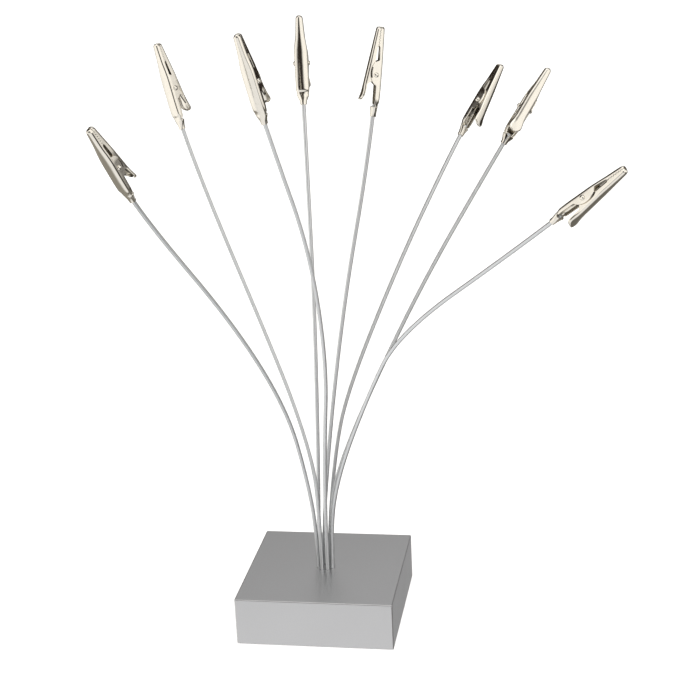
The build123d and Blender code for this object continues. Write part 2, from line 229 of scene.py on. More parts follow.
def add_node(tree, kind, inputs=None, links=None, **settings):
    """One shader node, with its settings, its fixed inputs and its links."""
    node = tree.nodes.new(kind)
    for name, value in settings.items():
        setattr(node, name, value)
    for name, value in (inputs or {}).items():
        node.inputs[name].default_value = value
    for name, source in (links or {}).items():
        tree.links.new(source, node.inputs[name])
    return node


def new_material(name):
    """An empty node material and its tree."""
    material = bpy.data.materials.new(name)
    material.use_nodes = True
    material.node_tree.nodes.clear()
    return material, material.node_tree


def add_surface(tree, fixed, colour, darker, tint, smooth, rough, polish, normal=None):
    """The material's surface: a pattern called tint takes the colour down to a darker one, and
    a pattern called polish takes it from smooth to rough."""
    dark = (colour[0] * darker, colour[1] * darker, colour[2] * darker, 1.0)
    shade = add_node(
        tree,
        "ShaderNodeMix",
        {MIX_A: dark, MIX_B: tuple(colour)},
        {MIX_FACTOR: tint},
        data_type="RGBA",
    ).outputs[MIX_RESULT]
    roughness = add_node(
        tree, "ShaderNodeMapRange", {"To Min": smooth, "To Max": rough}, {"Value": polish}
    ).outputs["Result"]
    links = {"Base Color": shade, "Roughness": roughness}
    if normal:
        links["Normal"] = normal
    shader = add_node(tree, "ShaderNodeBsdfPrincipled", fixed, links)
    add_node(tree, "ShaderNodeOutputMaterial", links={"Surface": shader.outputs["BSDF"]})


def drawn_lines(tree, length, width):
    """The lines that a die leaves along a wire, on a UV map that runs along and round it."""
    along = add_node(tree, "ShaderNodeUVMap", uv_map="along").outputs["UV"]
    stretched = add_node(
        tree, "ShaderNodeMapping", {"Scale": (1 / length, 1 / width, 1.0)}, {"Vector": along}
    ).outputs["Vector"]
    return add_node(
        tree, "ShaderNodeTexNoise", {"Scale": 1.0, "Detail": 2.0}, {"Vector": stretched}
    ).outputs["Fac"]


def anodised_aluminium(colours):
    """Bead-blasted and silver anodised: a satin grey that spreads every reflection, with the
    fine even grain of the blasting."""
    # The beads leave dents of about 0.1 mm, too fine to show, so they are drawn at 0.35 mm. The
    # blasting is uneven over some 18 mm.
    grain_size = 0.00035
    cloud_size = 0.018
    material, tree = new_material("anodised_aluminium_blasted")
    place = add_node(tree, "ShaderNodeTexCoord").outputs["Object"]
    grain = add_node(
        tree, "ShaderNodeTexNoise", {"Scale": 1 / grain_size, "Detail": 2.0}, {"Vector": place}
    ).outputs["Fac"]
    cloud = add_node(
        tree, "ShaderNodeTexNoise", {"Scale": 1 / cloud_size, "Detail": 1.0}, {"Vector": place}
    ).outputs["Fac"]
    bump = add_node(
        tree, "ShaderNodeBump", {"Strength": 0.16, "Distance": 0.00004}, {"Height": grain}
    ).outputs["Normal"]
    add_surface(tree, {"Metallic": 1.0}, colours.anodised, 0.90, grain, 0.31, 0.37, cloud, bump)
    return material


def drawn_steel(colours):
    """Steel wire pulled through a die and left bare: satin, with faint lines along its length
    and small pits."""
    # The die's lines are about 0.02 mm wide and its pits 0.1 mm, too fine to show, so they are
    # drawn at 0.22 and 0.7 mm
    line_length = 0.012
    line_width = 0.00022
    pit_size = 0.0007
    material, tree = new_material("drawn_steel_wire")
    lines = drawn_lines(tree, line_length, line_width)
    place = add_node(tree, "ShaderNodeTexCoord").outputs["Object"]
    pits = add_node(
        tree, "ShaderNodeTexNoise", {"Scale": 1 / pit_size, "Detail": 3.0}, {"Vector": place}
    ).outputs["Fac"]
    bump = add_node(
        tree, "ShaderNodeBump", {"Strength": 0.22, "Distance": 0.00003}, {"Height": lines}
    ).outputs["Normal"]
    add_surface(tree, {"Metallic": 1.0}, colours.drawn_steel, 0.90, pits, 0.40, 0.52, pits, bump)
    return material


def nickel_plate(colours):
    """Pressed steel barrelled and nickel plated: bright and a little warm, mirror-like but
    softened by the press's faint waves and the barrel's fine pits."""
    # The press leaves waves of about 2.2 mm. The barrel's pits of 0.05 mm are too fine to show,
    # so they are drawn at 0.25 mm.
    wave_size = 0.0022
    pit_size = 0.00025
    material, tree = new_material("nickel_plated_steel")
    place = add_node(tree, "ShaderNodeTexCoord").outputs["Object"]
    wave = add_node(
        tree, "ShaderNodeTexNoise", {"Scale": 1 / wave_size, "Detail": 1.0}, {"Vector": place}
    ).outputs["Fac"]
    pits = add_node(
        tree, "ShaderNodeTexNoise", {"Scale": 1 / pit_size, "Detail": 2.0}, {"Vector": place}
    ).outputs["Fac"]
    waved = add_node(
        tree, "ShaderNodeBump", {"Strength": 0.14, "Distance": 0.00010}, {"Height": wave}
    ).outputs["Normal"]
    pitted = add_node(
        tree,
        "ShaderNodeBump",
        {"Strength": 0.03, "Distance": 0.00001},
        {"Height": pits, "Normal": waved},
    ).outputs["Normal"]
    add_surface(tree, {"Metallic": 1.0}, colours.nickel, 0.93, wave, 0.10, 0.16, pits, pitted)
    return material


def spring_steel(colours):
    """Oil-tempered spring wire: darker than the plate, half bright, with drawn lines."""
    # The die's lines, about 0.02 mm wide, are drawn at 0.1 mm to show
    line_length = 0.006
    line_width = 0.0001
    material, tree = new_material("oil_tempered_spring_steel")
    lines = drawn_lines(tree, line_length, line_width)
    add_surface(tree, {"Metallic": 1.0}, colours.spring_steel, 0.75, lines, 0.24, 0.38, lines)
    return material


def sheet_rubber(colours):
    """Moulded sheet rubber: dull black with a fine cloth-like grain that catches a little
    light."""
    # The cloth that the sheet was cured on had threads about 0.6 mm apart
    grain_size = 0.0006
    fixed = {"Metallic": 0.0, "IOR": 1.52}
    material, tree = new_material("moulded_sheet_rubber")
    place = add_node(tree, "ShaderNodeTexCoord").outputs["Object"]
    grain = add_node(
        tree, "ShaderNodeTexNoise", {"Scale": 1 / grain_size, "Detail": 3.0}, {"Vector": place}
    ).outputs["Fac"]
    bump = add_node(
        tree, "ShaderNodeBump", {"Strength": 0.5, "Distance": 0.0001}, {"Height": grain}
    ).outputs["Normal"]
    add_surface(tree, fixed, colours.rubber, 0.6, grain, 0.62, 0.82, grain, bump)
    return material


def lit_paper(colours):
    """Matt white paper that is lit from behind, so only the softest shadow shows on it."""
    glow = 0.72
    material, tree = new_material("matt_white_paper")
    shader = add_node(
        tree,
        "ShaderNodeBsdfPrincipled",
        {
            "Base Color": tuple(colours.paper),
            "Roughness": 0.9,
            "Emission Color": tuple(colours.paper),
            "Emission Strength": glow,
        },
    )
    add_node(tree, "ShaderNodeOutputMaterial", links={"Surface": shader.outputs["BSDF"]})
    return material


MAKERS = {
    "anodised": anodised_aluminium,
    "wire": drawn_steel,
    "nickel": nickel_plate,
    "spring": spring_steel,
    "rubber": sheet_rubber,
    "paper": lit_paper,
}


def material_for(scene, name):
    """The finish of that name, made once."""
    key = "phototree_" + name
    if key not in scene:
        scene[key] = MAKERS[name](scene.phototree_colours).name
    return bpy.data.materials[scene[key]]


# Meshes

# Edges that turn by more degrees than these are kept crisp
CRISP_SHEET = 32
CRISP_SOLID = 40
CRISP_TUBE = 50

# The faces of a block, by its points from box_points
BOX_FACES = [(0, 1, 2, 3), (4, 5, 6, 7), (0, 1, 5, 4), (1, 2, 6, 5), (2, 3, 7, 6), (3, 0, 4, 7)]


def mesh_from(name, points, faces):
    """A mesh whose faces all look outward."""
    mesh = bpy.data.meshes.new(name)
    mesh.from_pydata(points, [], faces)
    mesh.validate()
    work = bmesh.new()
    work.from_mesh(mesh)
    bmesh.ops.recalc_face_normals(work, faces=work.faces)
    work.to_mesh(mesh)
    work.free()
    return mesh


def smooth_by_angle(mesh, degrees):
    """Smooth shading, with every edge that turns more than the angle kept crisp."""
    for face in mesh.polygons:
        face.use_smooth = True
    mesh.set_sharp_from_angle(angle=math.radians(degrees))


def add_piece(name, mesh, material, body, node):
    """A piece of the model: it has its finish, rides on its body and stands for its CAD node."""
    piece = bpy.data.objects.new(name, mesh)
    bpy.context.scene.collection.objects.link(piece)
    mesh.materials.clear()
    mesh.materials.append(material)
    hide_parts(node)
    if body:
        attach(piece, body)
    return piece


def with_modifiers(mesh, make):
    """The mesh after the modifiers that make() puts on a holder object."""
    holder = bpy.data.objects.new("holder", mesh)
    bpy.context.scene.collection.objects.link(holder)
    helpers = make(holder)
    bpy.context.view_layer.update()
    graph = bpy.context.evaluated_depsgraph_get()
    result = bpy.data.meshes.new_from_object(holder.evaluated_get(graph))
    for thing in [holder, *helpers]:
        bpy.data.objects.remove(thing)
    return result


def circle(sides):
    """The cosine and sine of each step round a circle."""
    angles = [2 * math.pi * side / sides for side in range(sides)]
    return [(math.cos(angle), math.sin(angle)) for angle in angles]


def ring_faces(rings, sides):
    """Faces between neighbours in a run of rings of points, each with that many sides."""
    faces = []
    for ring in range(rings - 1):
        low = ring * sides
        for side in range(sides):
            after = (side + 1) % sides
            faces.append((low + side, low + after, low + sides + after, low + sides + side))
    return faces


def shut_ring_faces(rings, sides):
    """The same, with a lid on each end."""
    last = (rings - 1) * sides
    lids = [tuple(range(sides)), tuple(range(last, last + sides))]
    return lids + ring_faces(rings, sides)


def drum(name, radius, low, high, sides, rim=0.0):
    """A closed cylinder along Z, opening out by rim at its top, as a cutter for a hole."""
    levels = [(radius, low), (radius, high)]
    if rim:
        levels = [(radius, low), (radius, high - rim), (radius + 2 * rim, high + rim)]
    points = [(wide * x, wide * y, z) for wide, z in levels for x, y in circle(sides)]
    return mesh_from(name, points, shut_ring_faces(len(levels), sides))


def box_points(half, low, high):
    """The corners of a square block between two heights."""
    square = ((-half, -half), (half, -half), (half, half), (-half, half))
    return [(x, y, z) for z in (low, high) for x, y in square]


def cut_from(holder, cutter_meshes):
    """Boolean cuts of the holder by each mesh. Gives back the helper objects."""
    cutters = []
    for mesh in cutter_meshes:
        cutter = bpy.data.objects.new("cutter", mesh)
        bpy.context.scene.collection.objects.link(cutter)
        cutter.hide_render = True
        cut = holder.modifiers.new("cut", "BOOLEAN")
        cut.operation = "DIFFERENCE"
        cut.object = cutter
        cut.solver = "EXACT"
        cutters.append(cutter)
    return cutters


def tube_mesh(name, points, radius, sides):
    """A closed tube along points, with a UV map that runs along it and round it in metres."""
    rings = []
    normal = (points[1] - points[0]).orthogonal().normalized()
    count = len(points)
    travelled = [0.0]
    for before, after in zip(points, points[1:]):
        travelled.append(travelled[-1] + (after - before).length)
    for number, point in enumerate(points):
        ahead = points[min(number + 1, count - 1)] - points[max(number - 1, 0)]
        ahead.normalize()
        normal = (normal - ahead * normal.dot(ahead)).normalized()
        across = ahead.cross(normal)
        for x, y in circle(sides):
            rings.append(point + (normal * x + across * y) * radius)
    mesh = mesh_from(name, rings, shut_ring_faces(count, sides))
    along = mesh.uv_layers.new(name="along")
    strip = 2 * math.pi * radius / sides
    for face in mesh.polygons:
        corners = [(corner, mesh.loops[corner].vertex_index) for corner in face.loop_indices]
        seam = {0, sides - 1} <= {index % sides for _, index in corners}
        for corner, index in corners:
            side = index % sides
            if seam and side == 0:
                side = sides
            along.data[corner].uv = (travelled[index // sides], side * strip)
    smooth_by_angle(mesh, CRISP_TUBE)
    return mesh


def smooth_line(corners, steps):
    """Points of a smooth line that is drawn towards each corner and meets the first and last."""
    curve = bpy.data.curves.new("route", "CURVE")
    curve.dimensions = "3D"
    spline = curve.splines.new("NURBS")
    spline.points.add(len(corners) - 1)
    for point, corner in zip(spline.points, corners):
        point.co = (*corner, 1.0)
    spline.order_u = 3
    spline.use_endpoint_u = True
    spline.resolution_u = steps
    holder = bpy.data.objects.new("route", curve)
    line = bpy.data.meshes.new_from_object(holder)
    points = [vertex.co.copy() for vertex in line.vertices]
    bpy.data.objects.remove(holder)
    bpy.data.curves.remove(curve)
    bpy.data.meshes.remove(line)
    return points


# Places


def foot_place(number, sizes):
    """The middle of an arm's hole, on the base's top."""
    hole = ARMS[number][0]
    apart = 360 / len(ARMS)
    angle = math.radians(apart / 2 + apart * hole)
    return Vector(
        (sizes.ring_radius * math.cos(angle), sizes.ring_radius * math.sin(angle), sizes.base_top)
    )


def route_corners(number, sizes):
    """The corners of an arm's route, from the base's top to the mouth of the clip's barrel."""
    _, rise, _, shares = ARMS[number]
    foot = foot_place(number, sizes)
    corners = [foot, foot + Vector((0, 0, rise * sizes.arm_length))]
    for share in shares:
        corners.append(Vector(share) * sizes.arm_length + Vector((0, 0, sizes.base_top)))
    return corners


def clip_matrix(number, sizes, clip):
    """From the clip's own millimetres, with the pin at the origin, the tip along X and the
    moving jaw on the side of Z, to its place on the arm."""
    turn_degrees = ARMS[number][2]
    corners = route_corners(number, sizes)
    ahead = (corners[-1] - corners[-2]).normalized()
    level = (Vector((0, 0, 1)) - ahead * ahead.z).normalized()
    jaw_side = Matrix.Rotation(math.radians(turn_degrees), 3, ahead) @ level
    pin_axis = jaw_side.cross(ahead)
    pin = corners[-1] + ahead * clip.barrel_end + jaw_side * clip.wire_drop
    turn = Matrix((ahead, pin_axis, jaw_side)).transposed().to_4x4()
    return Matrix.Translation(pin) @ turn @ Matrix.Scale(MM, 4)


# The clip, in millimetres

# Rows of points across the pressed sheet: up a wall, round a corner and over the spine
WALL_ROWS = 4
CORNER_ROWS = 6
SPINE_ROWS = 8
SHEET_ROWS = 2 * (WALL_ROWS + CORNER_ROWS) + SPINE_ROWS + 1

# The longest step between two cross-sections
LONGEST_STEP = 0.55

# The rise of the spine's crown, as a share of the half width
CROWN_SHARE = 0.1

# The jaws' teeth: where the front one ends, and their spacing, depth and number
TEETH_FRONT = 17.6
TOOTH_PITCH = 1.05
TOOTH_DEPTH = 0.42
TOOTH_COUNT = 6

# The nose rounds down from the spine with this radius, and its sides draw in by this share of
# their own radius, which leaves a flat front. Its cross-sections stand at these shares of it.
NOSE_RADIUS = 0.9
NOSE_DRAW = 0.95
NOSE_SHARES = (1.0, 0.8, 0.6, 0.42, 0.26, 0.14, 0.05)

# The inner skin starts to close up on the outer one this far behind the nose
INNER_LEAD = 0.2

# The play round the pin in the fixed and the moving jaw, and the sides of every drilled hole
FIXED_PLAY = 0.02
MOVING_PLAY = 0.06
HOLE_SIDES = 28


def ease(share):
    """From 0 to 1 with the share, level at both ends."""
    share = min(1.0, max(0.0, share))
    return share * share * (3 - 2 * share)


def along_points(stops, x):
    """The height at x on a line through stops, which run in order of x."""
    if x <= stops[0][0]:
        return stops[0][1]
    for (x0, z0), (x1, z1) in zip(stops, stops[1:]):
        if x <= x1:
            return z0 + (z1 - z0) * (x - x0) / (x1 - x0)
    return stops[-1][1]


def smooth_points(stops, x):
    """The height at x on a smooth curve through stops, which never swings past one of them."""
    if x <= stops[0][0]:
        return stops[0][1]
    slopes = [(z1 - z0) / (x1 - x0) for (x0, z0), (x1, z1) in zip(stops, stops[1:])]
    leans = [0.0]
    for before, after in zip(slopes, slopes[1:]):
        leans.append(2 * before * after / (before + after) if before * after > 0 else 0.0)
    leans.append(slopes[-1])
    for number, ((x0, z0), (x1, z1)) in enumerate(zip(stops, stops[1:])):
        if x <= x1:
            run = x1 - x0
            share = (x - x0) / run
            left = 1 - share
            level = z0 * left**2 * (1 + 2 * share) + z1 * share**2 * (3 - 2 * share)
            return level + run * share * left * (leans[number] * left - leans[number + 1] * share)
    return stops[-1][1]


def arc_points(start, top, stop, count):
    """Points on the circle through three points, from the first to the last."""
    (ax, ay), (bx, by), (cx, cy) = start, top, stop
    spread = 2 * (ax * (by - cy) + bx * (cy - ay) + cx * (ay - by))
    squares = (ax * ax + ay * ay, bx * bx + by * by, cx * cx + cy * cy)
    ux = (squares[0] * (by - cy) + squares[1] * (cy - ay) + squares[2] * (ay - by)) / spread
    uy = (squares[0] * (cx - bx) + squares[1] * (ax - cx) + squares[2] * (bx - ax)) / spread
    radius = math.hypot(ax - ux, ay - uy)
    side = 1 if by > uy else -1
    points = []
    for number in range(count + 1):
        x = ax + (cx - ax) * (1 - math.cos(math.pi * number / count)) / 2
        points.append((x, uy + side * math.sqrt(max(0.0, radius**2 - (x - ux) ** 2))))
    return points


def tooth_stops(height):
    """The toothed stretch of a jaw's edge, from the rear tooth to the front one."""
    rear = TEETH_FRONT - TOOTH_COUNT * TOOTH_PITCH
    stops = [(rear, height)]
    for tooth in range(TOOTH_COUNT):
        start = rear + tooth * TOOTH_PITCH
        stops.append((start + TOOTH_PITCH / 4, height + TOOTH_DEPTH / 2))
        stops.append((start + TOOTH_PITCH * 3 / 4, height - TOOTH_DEPTH / 2))
    stops.append((TEETH_FRONT, height))
    return stops


def nose_marks(tip, plan_radius):
    """The places in the nose that need a cross-section, as stops without a height."""
    return [(tip - plan_radius * share, 0) for share in NOSE_SHARES]


def station_places(stops, start, stop):
    """Where the sheet is sectioned: at every stop, and evenly between them."""
    marks = sorted({start, stop, *[x for x, _ in stops if start < x < stop]})
    places = []
    for before, after in zip(marks, marks[1:]):
        parts = max(1, math.ceil((after - before) / LONGEST_STEP))
        places += [before + (after - before) * part / parts for part in range(parts)]
    return places + [stop]


def sheet_rows(half_width, spine, rim, corner, thickness, edge_round):
    """One cross-section of pressed sheet as outer and inner points from rim to rim: straight
    walls, rounded corners, a spine that is a little crowned, and both edges rounded off."""
    up = 1 if rim > spine else -1
    # A corner leaves some of its half of the width, and some of its wall, straight
    outer_share = 0.95
    inner_share = 0.9
    wall_share = 0.9
    least_half = 0.12
    least_radius = 0.05

    def skin(half, floor, radius):
        crown = CROWN_SHARE * half
        # The corner ends where it meets the crown's slope, which depends on where it ends
        lean = 0.0
        for _ in range(2):
            lean = math.atan2(2 * crown, half - radius * (1 - math.sin(lean)))
        flat = half - radius * (1 - math.sin(lean))
        low = floor + up * (crown + radius * math.cos(lean))
        points = []
        for row in range(WALL_ROWS):
            points.append((-half, rim + (low - rim) * row / WALL_ROWS))
        for row in range(CORNER_ROWS):
            angle = (math.pi / 2 - lean) * row / CORNER_ROWS
            side = -half + radius * (1 - math.cos(angle))
            points.append((side, low - up * radius * math.sin(angle)))
        for row in range(SPINE_ROWS + 1):
            place = 2 * row / SPINE_ROWS - 1
            points.append((flat * place, floor + up * crown * place**2))
        points += [(-y, z) for y, z in reversed(points[: WALL_ROWS + CORNER_ROWS])]
        points[0] = (-half, rim - up * edge_round)
        points[-1] = (half, rim - up * edge_round)
        return points

    outer_room = abs(rim - spine) - CROWN_SHARE * half_width
    outer_radius = min(corner, half_width * outer_share, outer_room * wall_share)
    inner_half = max(half_width - thickness, least_half)
    inner_room = abs(rim - spine) - thickness - CROWN_SHARE * inner_half
    inner_radius = min(corner - thickness, inner_half * inner_share, inner_room * wall_share)
    outer = skin(half_width, spine, outer_radius)
    inner = skin(inner_half, spine + up * thickness, max(inner_radius, least_radius))
    return outer, inner


def barrel_rows(radius, spread, centre, thickness, half_angle, edge_round):
    """A cross-section of the crimp barrel: a tube with a seam on top, wider by its spread."""
    outer = []
    inner = []
    bore = radius - thickness
    pull = edge_round / radius
    for row in range(SHEET_ROWS):
        share = row / (SHEET_ROWS - 1)
        angle = -half_angle + 2 * half_angle * share
        if row == 0:
            angle += pull
        if row == SHEET_ROWS - 1:
            angle -= pull
        outer.append((radius * math.sin(angle), centre - radius * math.cos(angle)))
        inner.append((bore * math.sin(angle), centre - bore * math.cos(angle)))
    edges = []
    for side in (-1, 1):
        for reach in (radius - edge_round, radius - thickness + edge_round):
            angle = side * half_angle
            edges.append((reach * math.sin(angle), centre - reach * math.cos(angle)))
    return [[(y * spread, z) for y, z in rows] for rows in (outer, inner, edges)]


def skin_mesh(name, sections):
    """A sheet through its cross-sections, open at the rear and shut at the front. Each section
    is (place of the outer skin, place of the inner skin, outer points, inner points, the two rim
    points of each side)."""
    points = []
    loops = []
    for outer_x, inner_x, outer, inner, edges in sections:
        middle_x = (outer_x + inner_x) / 2
        ring = [(outer_x, y, z) for y, z in outer]
        ring += [(middle_x, *edges[2]), (middle_x, *edges[3])]
        ring += [(inner_x, y, z) for y, z in reversed(inner)]
        ring += [(middle_x, *edges[1]), (middle_x, *edges[0])]
        loops.append(range(len(points), len(points) + len(ring)))
        points += ring
    faces = []
    for near, far in zip(loops, loops[1:]):
        size = len(near)
        for corner in range(size):
            after = (corner + 1) % size
            faces.append((near[corner], near[after], far[after], far[corner]))
    across = len(sections[0][2])
    faces += end_strip(loops[0], across)
    front = loops[-1]
    faces.append(tuple(front[:across]))
    faces.append(tuple(front[across + 2 : 2 * across + 2]))
    near = [front[across - 1], front[across], front[across + 1], front[across + 2]]
    far = [front[0], front[-1], front[-2], front[-3]]
    for number in range(3):
        faces.append((near[number], near[number + 1], far[number + 1], far[number]))
    return mesh_from(name, points, faces)


def end_strip(loop, across):
    """The sheet's thickness at an open end, from one rim to the other."""
    inner = list(reversed(loop[across + 2 : 2 * across + 2]))
    outer = list(loop[:across])
    faces = []
    for number in range(across - 1):
        faces.append((outer[number], outer[number + 1], inner[number + 1], inner[number]))
    faces.append((loop[across - 1], loop[across], loop[across + 1], loop[across + 2]))
    faces.append((loop[0], loop[-1], loop[-2], loop[-3]))
    return faces


def channel_section(x, inner_x, half_width, spine, rim, corner, clip):
    """A section of one of the jaws, as skin_mesh takes it."""
    thickness = clip.sheet / MM
    edge_round = clip.rim_round / MM
    inset_share = 0.6
    outer, inner = sheet_rows(half_width, spine, rim, corner, thickness, edge_round)
    near = abs(outer[0][0])
    far = abs(inner[0][0])
    inset = edge_round * inset_share
    edges = [(-near + inset, rim), (-far - inset, rim), (near - inset, rim), (far + inset, rim)]
    return x, inner_x, outer, inner, edges


def nose_drop(x, tip, radius):
    """How far a rounded nose has drawn in at x."""
    into = max(0.0, x - (tip - radius))
    return radius - math.sqrt(max(0.0, radius**2 - into**2))


def inner_place(x, tip, thickness, start):
    """The inner skin stops one sheet short of the tip."""
    if x <= start:
        return x
    return start + (x - start) * (tip - thickness - start) / (tip - start)


def pin_cut(mesh, clip, play):
    """The jaw with the hole for the pin across it, larger than the pin by some play."""
    across = Matrix.Rotation(math.pi / 2, 4, "X")
    reach = clip.width / MM
    cutter = drum("pin_hole", clip.pin_radius / MM + play, -reach, reach, HOLE_SIDES)
    cutter.transform(across)
    return with_modifiers(mesh, lambda holder: cut_from(holder, [cutter]))


def fixed_jaw_mesh(clip):
    """The half that is crimped on the wire: a barrel, a tail, ears round the pin and teeth."""
    tip = clip.tip / MM
    tail = -clip.barrel_end / MM
    thickness = clip.sheet / MM
    edge_round = clip.rim_round / MM
    plan_radius = 1.3
    barrel_front = -12.2
    notch_front = -11.6
    notch_ramp = 0.12
    tail_edge = 0.05
    seam_angle = math.radians(172)
    # The crimp: each section's place, its width against its height, and its radius
    crimp = [(tail, 1.0, 1.23), (tail + tail_edge, 1.02, 1.28), (-14.8, 1.16, 1.28)]
    crimp += [(-13.6, 1.48, 1.376), (-12.5, 1.72, 1.464)]
    half_stops = [(-14.3, 1.35), (-12.9, 2.05), (-11.3, 2.5), (-9.0, 2.7), (3.0, 2.7)]
    half_stops += [(5.4, 2.58), (7.6, 2.34), (10.6, 1.9), (13.5, 1.68), (tip, 1.37)]
    spine_stops = [(-14.3, -2.28), (-11.4, -2.46), (-10.4, -2.78), (-8.6, -2.82)]
    spine_stops += [(0.0, -2.55), (tip, -1.65)]
    ear = arc_points((-3.1, 0.95), (0.5, 2.2), (4.9, 0.95), 18)
    rim_stops = [(barrel_front, -1.0), (notch_front, -1.0), (notch_front + notch_ramp, -0.6)]
    rim_stops += [(-4.2, -0.25), *ear, (5.5, -0.35), (5.8, -0.75), (10.6, -0.5)]
    rim_stops += [*tooth_stops(-0.05), (tip, -0.05)]
    # The corners are rounder from the tail back to the barrel
    corner_radius = 1.1
    corner_growth = 0.2
    growth_start = -11.0
    growth_run = 2.5
    sections = []
    for x, spread, radius in crimp:
        outer, inner, edges = barrel_rows(
            radius, spread, -clip.wire_drop / MM, thickness, seam_angle, edge_round
        )
        sections.append((x, x, outer, inner, edges))
    marks = rim_stops + half_stops + nose_marks(tip, plan_radius)
    for x in station_places(marks, barrel_front, tip):
        half = smooth_points(half_stops, x) - nose_drop(x, tip, plan_radius) * NOSE_DRAW
        spine = smooth_points(spine_stops, x) + nose_drop(x, tip, NOSE_RADIUS)
        rim = along_points(rim_stops, x)
        inner_x = inner_place(x, tip, thickness, tip - plan_radius - INNER_LEAD)
        corner = corner_radius + corner_growth * ease((growth_start - x) / growth_run)
        sections.append(channel_section(x, inner_x, half, spine, rim, corner, clip))
    mesh = skin_mesh("fixed_jaw", sections)
    return pin_cut(mesh, clip, FIXED_PLAY)


def moving_spine(x):
    """The height of the moving jaw's spine: straight, and curled up over the paddle."""
    height_at_pin = 3.9
    slope = -0.123
    curl_start = -6.0
    curl_run = 4.2
    curl_rise = 0.55
    curl = curl_rise * (max(0.0, curl_start - x) / curl_run) ** 2
    return height_at_pin + slope * x + curl


def moving_jaw_mesh(clip):
    """The half that opens: a thumb paddle, lobes round the pin and teeth."""
    tip = clip.tip / MM
    thickness = clip.sheet / MM
    plan_radius = 1.25
    # The paddle's round end, from where it starts to where it has its full width, and the
    # angles round it that its cross-sections stand at
    end = -10.2
    full = -8.1
    end_angles = (12, 22, 33, 45, 58, 74)
    first_step = 0.03
    paddle_half = 2.75
    least_wall = 0.62
    half_stops = [(-8.4, paddle_half), (-3.3, 2.05), (4.9, 2.05), (10.6, 1.76), (tip, 1.32)]
    lobe = arc_points((-1.4, -1.05), (0.0, -1.75), (1.4, -1.05), 16)
    rim_stops = [(end, 4.55), (-8.9, 3.85), (-7.3, 3.35), (-3.9, 2.8), (-3.4, 2.5), (-2.4, 0.9)]
    rim_stops += [*lobe, (3.0, 0.2), (5.4, 0.8), (10.6, 0.45), *tooth_stops(0.06), (tip, 0.06)]
    # The corners are rounder under the paddle
    corner_radius = 0.95
    corner_growth = 0.85
    growth_start = -4.5
    growth_run = 3.5
    marks = rim_stops + half_stops + nose_marks(tip, plan_radius)
    for angle in end_angles:
        marks.append((end + (full - end) * (1 - math.cos(math.radians(angle))), 0))
    sections = []
    for x in station_places(marks, end + first_step, tip):
        spine = moving_spine(x) - nose_drop(x, tip, NOSE_RADIUS)
        half = smooth_points(half_stops, x) - nose_drop(x, tip, plan_radius) * NOSE_DRAW
        if x < full:
            into = (x - end) / (full - end)
            half = paddle_half * math.sqrt(max(0.0, 1 - (1 - into) ** 2))
        rim = min(along_points(rim_stops, x), spine - least_wall)
        inner_x = inner_place(x, tip, thickness, tip - plan_radius - INNER_LEAD)
        corner = corner_radius + corner_growth * ease((growth_start - x) / growth_run)
        sections.append(channel_section(x, inner_x, half, spine, rim, corner, clip))
    mesh = skin_mesh("moving_jaw", sections)
    return pin_cut(mesh, clip, MOVING_PLAY)


def pin_mesh(clip):
    """The rivet: a shaft with a domed head at each end, turned about its own axis."""
    proud = 0.02
    head_edge = 0.05
    dome_angles = (20, 38, 54, 68, 80, 87)
    sides = 40
    half = clip.width / MM / 2 + proud
    head = clip.head_radius / MM
    height = clip.head_height / MM
    shaft = clip.pin_radius / MM
    levels = [(shaft, half), (head - head_edge, half), (head, half + head_edge)]
    for angle in dome_angles:
        turn = math.radians(angle)
        rise = (height - head_edge) * math.sin(turn)
        levels.append((head * math.cos(turn), half + head_edge + rise))
    profile = [(radius, -y) for radius, y in reversed(levels)] + levels
    points = [(radius * x, y, radius * z) for radius, y in profile for x, z in circle(sides)]
    return mesh_from("pivot_pin", points, shut_ring_faces(len(profile), sides))


def spring_points(clip):
    """The middle of the torsion spring's wire: a leg on the tail's floor, the coil round the
    pin, and a leg under the paddle. Also half the coil's length, along the pin."""
    radius = clip.coil_radius / MM
    reach = clip.leg_reach / MM
    thickness = clip.sheet / MM
    wire = clip.spring_wire / MM / 2
    leg_gap = 0.06
    leg_steps = 8
    coil_steps = 44
    # The tail's floor, and how far it has fallen at this distance behind the pin
    floor_at_pin = -2.55
    floor_fall = 0.2
    fall_run = 8.4
    floor = floor_at_pin - floor_fall * reach / fall_run + thickness + wire + leg_gap
    roof = moving_spine(-reach) - thickness - wire - leg_gap
    start = math.atan2(floor, -reach) + math.acos(radius / math.hypot(reach, floor))
    if start > 0:
        start -= 2 * math.pi
    stop = math.atan2(roof, -reach) - math.acos(radius / math.hypot(reach, roof)) + 2 * math.pi
    half_span = clip.coil_pitch / MM * (stop - start) / (4 * math.pi)
    coil = []
    for step in range(coil_steps + 1):
        share = step / coil_steps
        angle = start + (stop - start) * share
        y = -half_span + 2 * half_span * share
        coil.append(Vector((radius * math.cos(angle), y, radius * math.sin(angle))))
    low_end = Vector((-reach, -half_span, floor))
    high_end = Vector((-reach, half_span, roof))
    low_leg = [low_end.lerp(coil[0], step / leg_steps) for step in range(leg_steps)]
    high_leg = [coil[-1].lerp(high_end, (step + 1) / leg_steps) for step in range(leg_steps)]
    return low_leg + coil + high_leg, half_span


# Operators

# How finely the wires' routes are drawn, and the sides of the wire and of the spring's wire
ROUTE_STEPS = 14
WIRE_SIDES = 20
SPRING_SIDES = 12


